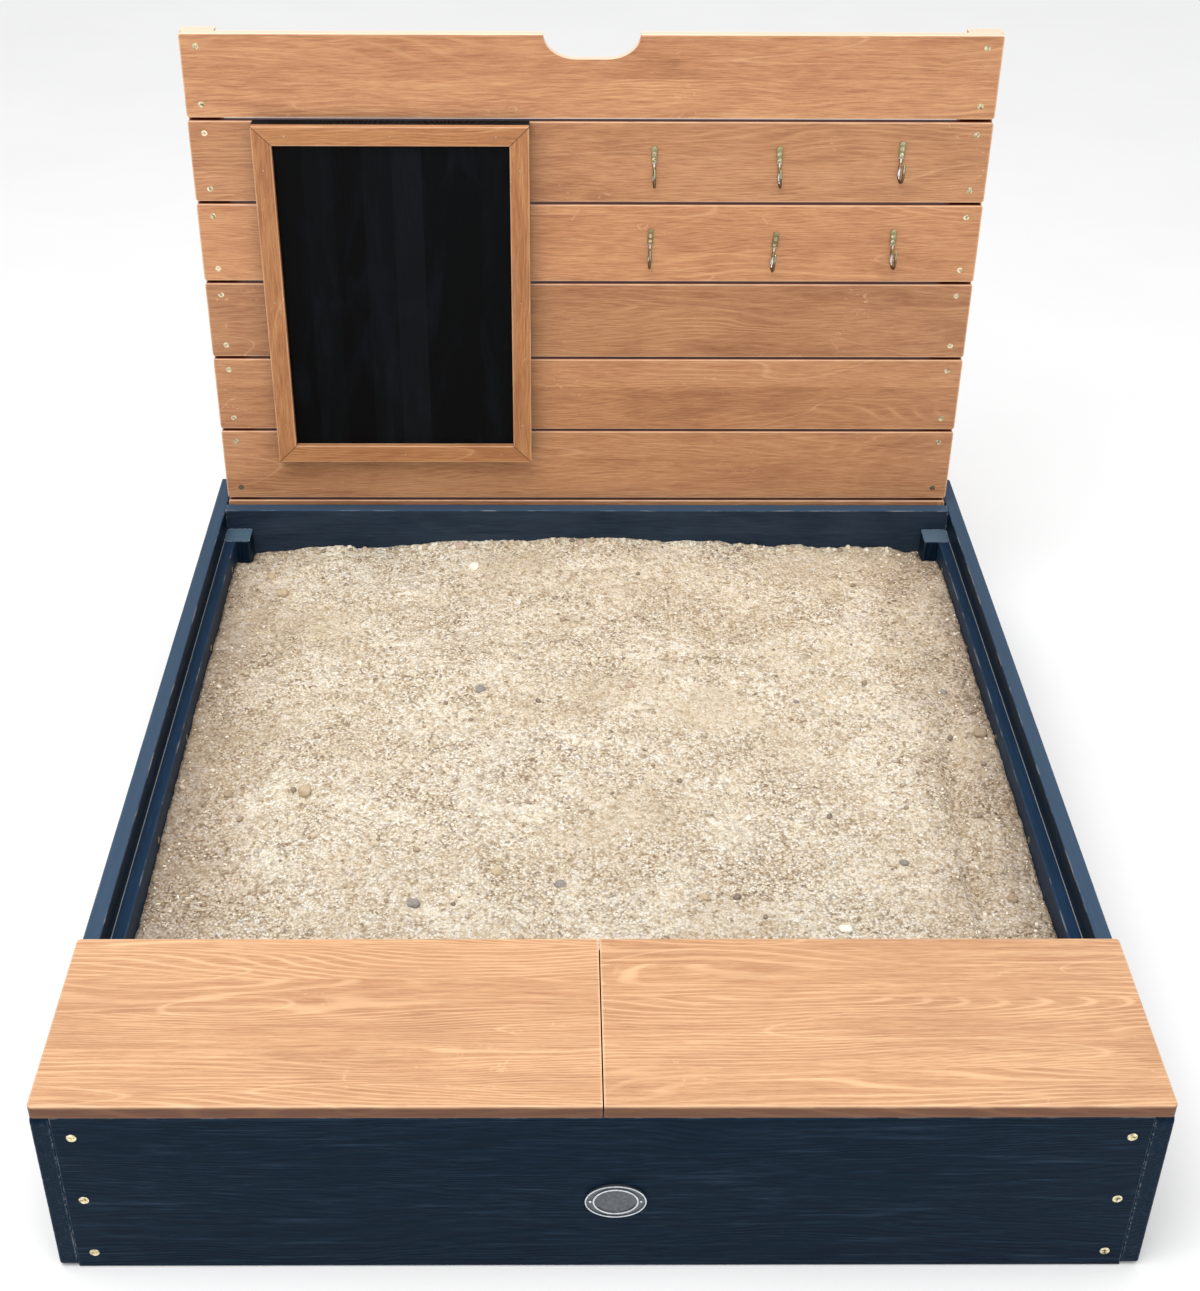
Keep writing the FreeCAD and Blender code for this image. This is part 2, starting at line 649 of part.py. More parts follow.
def hook(x, z, lean, turn, name):
    """A flat plate with two screws that narrows to a round wire, bent out and up.

    It is made with its upper screw at the origin and the wall at y = 0, then leaned and moved. The
    wire is made around its own axis, then turned about it.
    """
    plate = [box(name + "_plate", "hook_plate_width", "hook_plate", "hook_plate_up + hook_plate_down",
                 "0 - hook_plate_width / 2", "0 - hook_plate", "0 - hook_plate_down")]
    for end, level in (("top", "hook_plate_up"), ("foot", "0 - hook_plate_down")):
        plate.append(cylinder(f"{name}_{end}", "hook_plate_width / 2", "hook_plate",
                              "0", "0", level, TO_FRONT))
    bend_z = "(0 - hook_drop)"
    shank = cylinder(name + "_shank", "hook_wire / 2", "hook_drop - hook_plate_down - hook_plate_width * 0.3",
                     "0", "0", bend_z)
    leaf = DOC.addObject("Part::Ellipsoid", name + "_leaf")
    bind(leaf, Radius1="hook_leaf_height / 2", Radius2="hook_leaf_width / 2",
         Radius3="hook_leaf_thickness / 2")
    place(leaf, "0", "0", f"{bend_z} + hook_leaf_height * 0.1")
    bend = DOC.addObject("Part::Torus", name + "_bend")
    bind(bend, Radius1="(hook_reach - hook_wire) / 2", Radius2="hook_wire / 2", Angle3="180")
    place(bend, "0", "(hook_wire - hook_reach) / 2", bend_z, HOOK_BEND)
    tip_y = "(hook_wire - hook_reach)"
    tip = cylinder(name + "_tip", "hook_wire / 2", "hook_tip", "0", tip_y, bend_z)
    ball = DOC.addObject("Part::Sphere", name + "_ball")
    bind(ball, Radius="hook_wire / 2")
    place(ball, "0", tip_y, f"{bend_z} + hook_tip")
    wire = fuse(name + "_wire", [shank, leaf, bend, tip, ball])
    place(wire, "0", "0 - hook_wire / 2", "0", FreeCAD.Rotation(FreeCAD.Vector(0, 0, 1), turn))
    body = fuse(name + "_body", plate + [wire])
    place(body, x, "cover_front", z, FreeCAD.Rotation(Y_AXIS, -lean))
    part(cut(name, body, hook_holes), name)


for hook_place in hook_places:
    hook(*hook_place)


# ---------------------------------------------------------------- check and write
def check_and_write():
    """Stops on any failed object or bad shape, then writes one STEP file per sub-part."""
    DOC.recompute()
    failed = [o.Name for o in DOC.Objects if "Invalid" in o.State or "Error" in o.State]
    if failed:
        raise RuntimeError(f"failed objects: {failed}")
    for obj in PARTS:
        if obj.Shape.isNull() or not obj.Shape.isValid():
            raise RuntimeError(f"bad shape: {obj.Label}")
    os.makedirs("parts", exist_ok=True)
    for obj in PARTS:
        obj.Shape.exportStep(f"parts/{obj.Label}.step")


check_and_write()
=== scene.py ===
import json
import math
import random

import bmesh
import bpy
import numpy as np
from mathutils import Matrix, Vector, noise


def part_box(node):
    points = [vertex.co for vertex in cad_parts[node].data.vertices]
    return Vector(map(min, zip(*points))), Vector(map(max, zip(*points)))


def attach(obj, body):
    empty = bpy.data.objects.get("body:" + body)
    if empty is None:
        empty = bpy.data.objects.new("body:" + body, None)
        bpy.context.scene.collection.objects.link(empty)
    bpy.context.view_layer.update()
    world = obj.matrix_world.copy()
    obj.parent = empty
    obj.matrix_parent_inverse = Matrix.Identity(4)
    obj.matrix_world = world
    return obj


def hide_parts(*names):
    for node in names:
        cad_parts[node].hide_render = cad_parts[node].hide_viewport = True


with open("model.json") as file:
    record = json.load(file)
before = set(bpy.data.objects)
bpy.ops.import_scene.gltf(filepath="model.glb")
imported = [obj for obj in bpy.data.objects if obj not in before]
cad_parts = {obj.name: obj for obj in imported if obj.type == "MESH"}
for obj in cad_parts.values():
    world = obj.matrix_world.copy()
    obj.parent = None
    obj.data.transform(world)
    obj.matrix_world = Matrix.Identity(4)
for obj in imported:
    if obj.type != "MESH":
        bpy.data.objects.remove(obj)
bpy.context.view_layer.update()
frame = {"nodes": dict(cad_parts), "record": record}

NODES = frame["nodes"]
MM = 0.001

# Places that several pieces share, all read from the frame.
SAND_LOW, SAND_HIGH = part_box("sand_fill")
LEDGE_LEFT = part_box("cover_ledge_left")
POST_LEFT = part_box("corner_post_back_left")
LEDGE_INNER = -LEDGE_LEFT[1].x
LEDGE_FOOT = LEDGE_LEFT[0].z


def tone(red, green, blue):
    """A colour from 0 to 255 a channel, as the eye sees it, made into the linear colour of a shader."""
    linear = [((c / 255 + 0.055) / 1.055) ** 2.4 if c > 10 else c / 255 / 12.92 for c in (red, green, blue)]
    return (*linear, 1.0)


WHITE = tone(255, 255, 255)
BARE_PINE = tone(255, 214, 176)


# ---------------------------------------------------------------- materials
class Material:
    """A node material built step by step. Each step returns the socket that it makes."""

    def __init__(self, name):
        self.data = bpy.data.materials.new(name)
        self.data.use_nodes = True
        self.tree = self.data.node_tree
        self.shader = self.tree.nodes["Principled BSDF"]
        coordinates = self.node("ShaderNodeTexCoord").outputs
        self.place = coordinates["Object"]
        self.facing = coordinates["Normal"]

    def node(self, kind, sockets=(), **settings):
        """A node with its settings, and its sockets linked or filled in order of (name, value)."""
        made = self.tree.nodes.new(kind)
        for key, value in settings.items():
            setattr(made, key, value)
        for key, value in dict(sockets).items():
            self.feed(made.inputs[key], value)
        return made

    def feed(self, socket, value):
        """Links a socket to another one, or gives it a plain value."""
        if isinstance(value, bpy.types.NodeSocket):
            self.tree.links.new(value, socket)
        else:
            socket.default_value = value

    def set(self, **sockets):
        """Feeds the shader's sockets; an underscore in a name stands for a space."""
        for key, value in sockets.items():
            self.feed(self.shader.inputs[key.replace("_", " ")], value)

    def math(self, operation, first, second=0.0, third=0.0, clamp=False):
        sockets = {0: first, 1: second, 2: third}
        return self.node("ShaderNodeMath", sockets, operation=operation, use_clamp=clamp).outputs[0]

    def upward(self, start=0.55, end=0.90):
        """1 on the faces that look up, 0 on the upright ones."""
        return self.ramp(self.separate(self.facing)[2], (start, 0.0), (end, 1.0))

    def vector(self, operation, first, second=(0, 0, 0)):
        return self.node("ShaderNodeVectorMath", {0: first, 1: second}, operation=operation).outputs[0]

    def scaled(self, where, scale, shift=(0, 0, 0)):
        """where with each axis multiplied, then shifted."""
        return self.vector("ADD", self.vector("MULTIPLY", where, scale), shift)

    def noise(self, where, scale, detail=2.0, roughness=0.5, distortion=0.0):
        sockets = {"Vector": where, "Scale": scale, "Detail": detail, "Roughness": roughness,
                   "Distortion": distortion}
        return self.node("ShaderNodeTexNoise", sockets).outputs["Fac"]

    def pattern(self, rng, scale, detail=2.0, roughness=0.5, distortion=0.0):
        """Noise with a scale for each axis, shifted at random so that no two materials share it."""
        where = self.scaled(self.place, scale, random_shift(rng))
        return self.noise(where, 1.0, detail, roughness, distortion)

    def cells(self, where, scale, feature="F1"):
        """A Voronoi texture; its distance and its colour, one colour a cell."""
        made = self.node("ShaderNodeTexVoronoi", {"Vector": where, "Scale": scale}, feature=feature)
        return made.outputs["Distance"], made.outputs.get("Color")

    def ramp(self, factor, *stops):
        """A value or colour that follows factor through (position, value) stops."""
        made = self.node("ShaderNodeValToRGB", {"Fac": factor})
        band = made.color_ramp
        while len(band.elements) < len(stops):
            band.elements.new(0.5)
        for element, (position, value) in zip(band.elements, stops):
            element.position = position
            element.color = value if isinstance(value, tuple) else (value, value, value, 1.0)
        return made.outputs["Color"]

    def mix(self, factor, first, second, blend="MIX"):
        """first where factor is 0 and second where it is 1."""
        made = self.node("ShaderNodeMix", data_type="RGBA", blend_type=blend)
        self.feed(made.inputs[0], factor)
        self.feed(made.inputs[6], first)
        self.feed(made.inputs[7], second)
        return made.outputs[2]

    def separate(self, where):
        return self.node("ShaderNodeSeparateXYZ", {0: where}).outputs

    def bump(self, height, strength, distance, below=None):
        """A normal from a height, on top of another normal if there is one."""
        made = self.node("ShaderNodeBump", {"Height": height, "Strength": strength, "Distance": distance})
        if below is not None:
            self.feed(made.inputs["Normal"], below)
        return made.outputs["Normal"]

    def edge(self, low, high, width):
        """1 on the long edges of the block from low to high, fading to 0 within width."""
        centre = (low + high) / 2
        half = (high - low) / 2
        away = self.vector("SUBTRACT", tuple(half),
                           self.vector("ABSOLUTE", self.vector("SUBTRACT", self.place, tuple(centre))))
        x, y, z = self.separate(away)
        middle = self.math("MAXIMUM", self.math("MINIMUM", x, y),
                           self.math("MINIMUM", self.math("MAXIMUM", x, y), z))
        return self.math("SUBTRACT", 1.0, self.math("DIVIDE", middle, width), clamp=True)


def grain_scale(axis, along, across):
    """A scale for the three axes, with its own value along the grain."""
    return tuple(along if k == axis else across for k in range(3))


def random_shift(rng):
    """A shift that gives each board its own part of a pattern."""
    return tuple(rng.uniform(-40, 40) for _ in range(3))


def wood_figure(made, rng, axis, stave_axis, stave_width, fibre=22.0, swing=20 * MM):
    """The parts of a board's figure: one number a stave, growth rings, fine fibres and cloudy patches.

    fibre is how many fibres follow each other in a metre, swing how far the grain wanders aside.
    """
    shift = random_shift(rng)
    start = tuple(rng.uniform(0, 1) for _ in range(3))
    staves = made.math("DIVIDE", made.separate(made.place)[stave_axis], stave_width)
    row = made.math("ADD", staves, start[0])
    stave = made.math("FLOOR", row)
    own = made.node("ShaderNodeTexWhiteNoise", {"W": made.math("ADD", stave, shift[0])},
                    noise_dimensions="1D").outputs["Value"]
    offset = made.node("ShaderNodeCombineXYZ", {0: made.math("MULTIPLY", own, 17.0),
                                                1: made.math("MULTIPLY", own, 5.0),
                                                2: made.math("MULTIPLY", own, 9.0)}).outputs[0]
    where = made.vector("ADD", made.place, offset)
    wave = made.noise(made.scaled(where, grain_scale(axis, 7.0, 24.0), shift), 1.0, 2.0, 0.5)
    aside = made.math("MULTIPLY", made.math("SUBTRACT", wave, 0.5), swing)
    where = made.vector("ADD", where, made.node("ShaderNodeCombineXYZ", {stave_axis: aside}).outputs[0])
    field = made.noise(made.scaled(where, grain_scale(axis, 0.9, 7.0), shift), 1.0, 2.2, 0.45)
    rings_a_metre, bends = 190.0, 42.0
    turns = made.math("ADD", made.math("MULTIPLY", field, bends),
                      made.math("MULTIPLY", made.separate(where)[stave_axis], rings_a_metre))
    rings = made.math("MULTIPLY_ADD", made.math("SINE", made.math("MULTIPLY", turns, 2 * math.pi)),
                      0.5, third=0.5)
    fibres = made.noise(made.scaled(where, grain_scale(axis, fibre, 420.0), shift), 1.0, 4.0, 0.66)
    clouds = made.noise(made.scaled(where, grain_scale(axis, 6.0, 20.0), shift), 1.0, 4.0, 0.6, 0.4)
    return own, rings, fibres, clouds


# Each kind of board's pale, middle and dark stain.
SLAT_TONES = (216, 167, 122), (200, 146, 105), (174, 119, 84)
FRAME_TONES = (206, 154, 104), (188, 130, 84), (160, 103, 64)
LID_TONES = (245, 202, 158), (218, 169, 127), (193, 143, 104)
# How pale single slats came out of the stain.
SLAT_SHADES = {"cover_slat_1": 1.05, "cover_slat_2": 1.01, "cover_slat_3": 1.07, "cover_slat_4": 0.98,
               "cover_slat_5": 1.03, "cover_slat_6": 1.01}


def stained_pine(name, low, high, rng, axis, stave_axis, tones, shade=1.0, calm=False, rub_and_light=0.85):
    """Pine with a clear orange-brown stain: thin rings, cloudy patches, pale flecks, and pale arrises that
    are rubbed and also painted as a highlight.

    shade makes the board darker or paler, calm gives it long straight grain, rub pales its arrises, for
    rubbed wear and for a painted highlight.
    """
    light, middle, dark = (tone(*(c * shade for c in shades)) for shades in tones)
    made = Material(name)
    if calm:
        own, rings, fibres, clouds = wood_figure(made, rng, axis, stave_axis, 0.047, 11.0, 9 * MM)
    else:
        own, rings, fibres, clouds = wood_figure(made, rng, axis, stave_axis, 0.052)
    figured = made.pattern(rng, grain_scale(axis, 4.0, 24.0), 3.0)
    start, most = (0.36, 1.0) if calm else (0.44, 0.9)
    clear = made.ramp(figured, (start, 0.0), (start + 0.20, most))
    colour = made.ramp(fibres, (0.32, dark), (0.50, middle), (0.68, light))
    colour = made.mix(0.7, middle, colour)
    fine = made.pattern(rng, grain_scale(axis, 45.0, 1000.0), 3.0, 0.7)
    grain = made.ramp(fine, (0.36, tone(222, 214, 208)), (0.56, WHITE))
    colour = made.mix(0.8, colour, grain, "MULTIPLY")
    pale_rings = made.math("MULTIPLY", made.ramp(rings, (0.70, 0.0), (1.0, 0.70)), clear)
    dark_rings = made.math("MULTIPLY", made.ramp(rings, (0.0, 0.28), (0.35, 0.0)), clear)
    colour = made.mix(pale_rings, colour, light)
    colour = made.mix(dark_rings, colour, dark)
    patch = made.ramp(clouds, (0.34, tone(208, 191, 183)), (0.50, tone(249, 246, 244)), (0.64, WHITE))
    colour = made.mix(0.30 if calm else 0.55, colour, patch, "MULTIPLY")
    stave = made.ramp(own, (0.0, tone(233, 226, 222)), (0.5, tone(248, 246, 244)), (1.0, WHITE))
    colour = made.mix(0.85, colour, stave, "MULTIPLY")
    fleck = made.pattern(rng, grain_scale(axis, 60.0, 75.0), 3.0, 0.6, 1.6)
    spots = made.pattern(rng, (8, 8, 8), 2.0)
    flecked = made.math("MULTIPLY", made.ramp(fleck, (0.62, 0.0), (0.72, 0.25 if calm else 0.5)),
                        made.ramp(spots, (0.56, 0.0), (0.64, 1.0)))
    colour = made.mix(flecked, colour, made.mix(0.5, light, BARE_PINE))
    vein = made.pattern(rng, grain_scale(axis, 1.6, 13.0), 1.0, 0.4, 0.2)
    thin = made.math("ABSOLUTE", made.math("SUBTRACT", vein, 0.56))
    line = made.ramp(thin, (0.0, 0.35), (0.0016, 0.0))
    colour = made.mix(line, colour, made.mix(0.3, light, BARE_PINE))
    # Pale arrises: partly rubbed wear, partly a painted highlight where the edges catch the light.
    uneven = made.ramp(made.noise(made.scaled(made.place, (30, 30, 30)), 1.0, 3.0), (0.3, 0.55), (0.6, 1.0))
    worn_and_lit = made.math("MULTIPLY", made.edge(low, high, 2.3 * MM), uneven)
    colour = made.mix(made.math("MULTIPLY", worn_and_lit, rub_and_light), colour, tone(255, 212, 172))
    relief = made.bump(fibres, 0.25, 0.20 * MM)
    relief = made.bump(rings, 0.12, 0.20 * MM, relief)
    made.set(Roughness=made.math("ADD", 0.40, made.math("MULTIPLY", fibres, 0.24)), Normal=relief,
             Coat_Weight=0.05, Coat_Roughness=0.35, Specular_IOR_Level=0.4)
    return made, colour


def mitre_line(made, low, high, axis, across):
    """1 along the two mitres of one strip of the chalkboard's frame."""
    panel_low, panel_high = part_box("chalkboard_panel")
    middle = (panel_low + panel_high) / 2
    parts = made.separate(made.place)
    along = parts[axis]
    end = made.math("MINIMUM", made.math("SUBTRACT", along, low[axis]),
                    made.math("SUBTRACT", high[axis], along))
    outer = low[across] if low[across] < middle[across] else high[across]
    depth = made.math("ABSOLUTE", made.math("SUBTRACT", parts[across], outer))
    seam = made.math("ABSOLUTE", made.math("SUBTRACT", end, depth))
    return made.math("LESS_THAN", seam, 0.9 * MM)


def slat_pine(name, low, high, rng, axis, across):
    """Stained pine for the cover: painted shade dark between the slats, stain pooled dark in the mitres,
    and a painted highlight that leaves the up-facing faces of the top slat and the battens pale.
    """
    if name.startswith("chalkboard_frame"):
        made, colour = stained_pine(name, low, high, rng, axis, across, FRAME_TONES, rub_and_light=0.45)
    else:
        shade = SLAT_SHADES.get(name, 1.0)
        made, colour = stained_pine(name, low, high, rng, axis, across, SLAT_TONES, shade)
    # Painted shade: the faces deep between two slats, under and over each slat, are multiplied dark as if
    # in shadow.
    if name.startswith("cover_slat"):
        _, y, z = made.separate(made.place)
        deep = made.ramp(made.math("SUBTRACT", y, low.y), (0.8 * MM, 0.0), (2.0 * MM, 1.0))
        under = made.math("LESS_THAN", z, low.z + 0.5 * MM)
        over = made.math("GREATER_THAN", z, high.z - 0.5 * MM)
        gap_shade = under if name == "cover_slat_1" else made.math("MAXIMUM", under, over)
        colour = made.mix(made.math("MULTIPLY", gap_shade, deep), colour, tone(146, 58, 38), "MULTIPLY")
    if name.startswith("chalkboard_frame"):
        mitre = made.math("MULTIPLY", mitre_line(made, low, high, axis, across), 0.75)
        colour = made.mix(mitre, colour, tone(84, 48, 32))
    # Painted highlight: the up-facing faces of the top slat and of the battens are made pale, as if lit
    # from above.
    if name == "cover_slat_1" or name.startswith("cover_batten"):
        colour = made.mix(made.math("MULTIPLY", made.upward(0.2, 0.6), 0.75), colour, tone(248, 224, 200))
    made.set(Base_Color=colour)
    return made.data


def lid_pine(name, low, high, rng, axis, across):
    """Paler stained pine for the bench lids, with painted shade darkening the upright sides of the board
    just under the top.
    """
    made, colour = stained_pine(name, low, high, rng, axis, across, LID_TONES, calm=True, rub_and_light=0.6)
    # Painted shade: the upright sides, from about a millimetre under the top face, are multiplied darker as
    # if out of the light.
    depth = made.math("SUBTRACT", high.z, made.separate(made.place)[2])
    upright = made.math("LESS_THAN", made.math("ABSOLUTE", made.separate(made.facing)[2]), 0.5)
    side = made.math("MULTIPLY", made.ramp(depth, (1.0 * MM, 0.0), (2.2 * MM, 0.95)), upright)
    made.set(Base_Color=made.mix(side, colour, tone(124, 94, 72), "MULTIPLY"))
    return made.data


# The pale tone of painted tops and how much of it there is: dust, together with painted light from the sky;
# less on the ledges, which sit in the side boards' shade.
DUSTY_LIT_TOP = (66, 86, 108), 0.85
OTHER_TOPS = {"corner_post_back_left": ((90, 114, 132), 0.9),
              "corner_post_back_right": ((102, 122, 138), 0.9),
              "cover_ledge_left": ((34, 54, 76), 0.4),
              "cover_ledge_right": ((34, 54, 76), 0.4)}
# The tone of the cloudy patches in the paint. A few boards have their own: the front board's is darker,
# painted shade, the ledges' is paler and bluer, painted light against their shade, and the back board's is
# paler.
CLOUDY = (14, 30, 46)
OTHER_CLOUDS = {"back_board": (63, 75, 90),
                "front_board": (0, 18, 36),
                "cover_ledge_left": (36, 62, 92),
                "cover_ledge_right": (36, 62, 92)}


def painted_pine(name, low, high, rng, axis, stave_axis):
    """Pine under a dark blue opaque stain: faint grain, tops made paler by dust and by painted sky light,
    rubbed bare along the arrises.
    """
    made = Material(name)
    _, rings, fibres, clouds = wood_figure(made, rng, axis, stave_axis, 0.071)
    colour = made.ramp(fibres, (0.34, tone(0, 9, 20)), (0.5, tone(8, 21, 36)), (0.64, tone(28, 44, 60)))
    colour = made.mix(made.ramp(rings, (0.6, 0.0), (1.0, 0.25)), colour, tone(22, 38, 54))
    # For the front board and the ledges this tone paints shade and light into the cloudy patches.
    shade = tone(*OTHER_CLOUDS.get(name, CLOUDY))
    colour = made.mix(made.ramp(clouds, (0.34, 0.30), (0.68, 0.65)), colour, shade)
    scuffs = made.pattern(rng, grain_scale(axis, 7.0, 190.0), 4.0, 0.7)
    colour = made.mix(made.ramp(scuffs, (0.56, 0.0), (0.72, 0.45)), colour, tone(52, 70, 88))
    # Painted light: the up-facing tops are made paler, for dust and for the sky light that they catch.
    top, amount = OTHER_TOPS.get(name, DUSTY_LIT_TOP)
    dust = made.math("MULTIPLY", made.upward(), made.ramp(scuffs, (0.3, amount), (0.7, amount * 0.8)))
    colour = made.mix(dust, colour, tone(*top))
    rubbed = made.pattern(rng, grain_scale(axis, 22.0, 160.0), 4.0, 0.65)
    arris = made.edge(low, high, 2.2 * MM)
    colour = made.mix(made.math("MULTIPLY", arris, 0.45), colour, tone(62, 84, 106))
    patchy = made.ramp(rubbed, (0.52, 0.0), (0.62, 0.6))
    bare = made.math("MULTIPLY", made.math("POWER", arris, 2.0), patchy)
    colour = made.mix(bare, colour, tone(200, 200, 194))
    if name.startswith("cover_ledge"):
        colour = made.mix(joint_line(made, low, high), colour, tone(190, 194, 194))
    relief = made.bump(fibres, 0.35, 0.30 * MM)
    relief = made.bump(rings, 0.25, 0.40 * MM, relief)
    made.set(Base_Color=colour, Roughness=made.math("ADD", 0.36, made.math("MULTIPLY", fibres, 0.26)),
             Normal=relief, Specular_IOR_Level=0.12, Specular_Tint=(0.30, 0.62, 1.0, 1.0))
    return made.data


def joint_line(made, low, high):
    """1 on the bare line along a ledge's top, where it meets the side board."""
    x, _, z = made.separate(made.place)
    outer = max(abs(low.x), abs(high.x))
    near = made.math("GREATER_THAN", made.math("ABSOLUTE", x), outer - 1.5 * MM)
    top = made.math("GREATER_THAN", z, high.z - 1.9 * MM)
    return made.math("MULTIPLY", made.math("MULTIPLY", near, top), 0.9)


def blackboard(name, low, high, rng):
    """Matt black paint over upright staves, with a trace of wiped chalk."""
    made = Material(name)
    own, rings, fibres, _ = wood_figure(made, rng, 2, 0, 0.038)
    colour = made.ramp(own, (0.0, tone(0, 1, 3)), (0.6, tone(3, 6, 9)), (1.0, tone(13, 17, 22)))
    wiped = made.pattern(rng, (26, 26, 7), 4.0, 0.6, 0.8)
    colour = made.mix(made.ramp(wiped, (0.5, 0.0), (0.8, 0.4)), colour, tone(22, 30, 40))
    colour = made.mix(made.ramp(fibres, (0.55, 0.0), (0.8, 0.5)), colour, tone(4, 4, 5))
    colour = made.mix(made.math("MULTIPLY", made.edge(low, high, 2 * MM), 0.5), colour, tone(52, 56, 60))
    relief = made.bump(fibres, 0.3, 0.2 * MM)
    made.set(Base_Color=colour, Roughness=made.math("ADD", 0.42, made.math("MULTIPLY", rings, 0.2)),
             Normal=relief, Specular_IOR_Level=0.09)
    return made.data


def plated(name, rng, bright, dull, rough=0.24, stain=0.5):
    """Plated metal with a little tarnish in patches and fine scratches. Given a strong tarnish, as the
    yellow zinc is, the bright spots left between the dark patches stand in for glints: painted highlights.
    """
    made = Material(name)
    patches = made.pattern(rng, (260, 260, 260), 3.0, 0.6)
    scratches = made.pattern(rng, (900, 900, 2400), 2.0)
    amount = made.ramp(patches, (0.40, 0.0), (0.68, stain))
    colour = made.mix(amount, tone(*bright), tone(*dull))
    roughness = made.math("ADD", made.math("MULTIPLY", patches, 0.22), rough)
    made.set(Base_Color=colour, Metallic=1.0, Roughness=roughness,
             Normal=made.bump(scratches, 0.25, 0.06 * MM))
    return made.data


def hook_metal(name, low, high, rng):
    """A hook's plating: greenish brass plate, brown shank, white bands painted as highlights below the
    plate and on the flattened part where it bends, painted shade on the sideways faces, a dark foot.
    """
    made = Material(name)
    patches = made.pattern(rng, (420, 420, 420), 3.0, 0.6)
    _, y, z = made.separate(made.place)
    below = made.math("DIVIDE", made.math("SUBTRACT", high.z, z), high.z - low.z)
    plate = (0.0, tone(196, 192, 152)), (0.10, tone(150, 152, 110)), (0.38, tone(138, 138, 104))
    # Painted highlights: white bands at the step below the plate and at the flattened bend, where they
    # would catch the light.
    shoulder_highlight = (0.43, tone(255, 253, 240)), (0.49, tone(255, 253, 240))
    shank = (0.52, tone(176, 158, 124)), (0.64, tone(170, 150, 120))
    leaf_highlight = (0.70, WHITE), (0.86, WHITE)
    foot = (0.92, tone(110, 76, 48)),
    colour = made.ramp(below, *plate, *shoulder_highlight, *shank, *leaf_highlight, *foot)
    tip = made.ramp(below, (0.66, tone(186, 184, 146)), (0.72, tone(128, 108, 74)))
    colour = made.mix(made.math("LESS_THAN", y, low.y + 6 * MM), colour, tip)
    colour = made.mix(made.ramp(patches, (0.48, 0.0), (0.66, 0.35)), colour, tone(96, 84, 56))
    # Painted shade: faces turned sideways are darkened, for the shaded flanks of the round wire.
    flank_shade = made.math("ABSOLUTE", made.separate(made.facing)[0])
    colour = made.mix(made.ramp(flank_shade, (0.40, 0.0), (0.80, 0.9)), colour, tone(62, 48, 32))
    made.set(Base_Color=colour, Metallic=0.85, Normal=made.bump(patches, 0.15, 0.08 * MM),
             Roughness=made.math("ADD", 0.12, made.math("MULTIPLY", patches, 0.2)))
    return made.data


def badge_metal(rng):
    """Bright metal where the badge stands proud, darker in its sunk field."""
    made = Material("badge_metal")
    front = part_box("badge")[0].y
    behind = made.math("MULTIPLY", made.math("SUBTRACT", made.separate(made.place)[1], front), 100.0)
    patches = made.pattern(rng, (260, 260, 260), 3.0, 0.6)
    proud = made.mix(made.ramp(patches, (0.4, 0.0), (0.68, 0.4)), tone(226, 230, 234), tone(140, 146, 152))
    sunk = made.mix(made.ramp(patches, (0.4, 0.0), (0.6, 0.5)), tone(104, 108, 112), tone(70, 76, 84))
    made.set(Base_Color=made.mix(made.ramp(behind, (0.05, 0.0), (0.09, 1.0)), proud, sunk), Metallic=0.8,
             Roughness=made.math("ADD", made.math("MULTIPLY", patches, 0.22), 0.22),
             Normal=made.bump(patches, 0.2, 0.1 * MM))
    return made.data


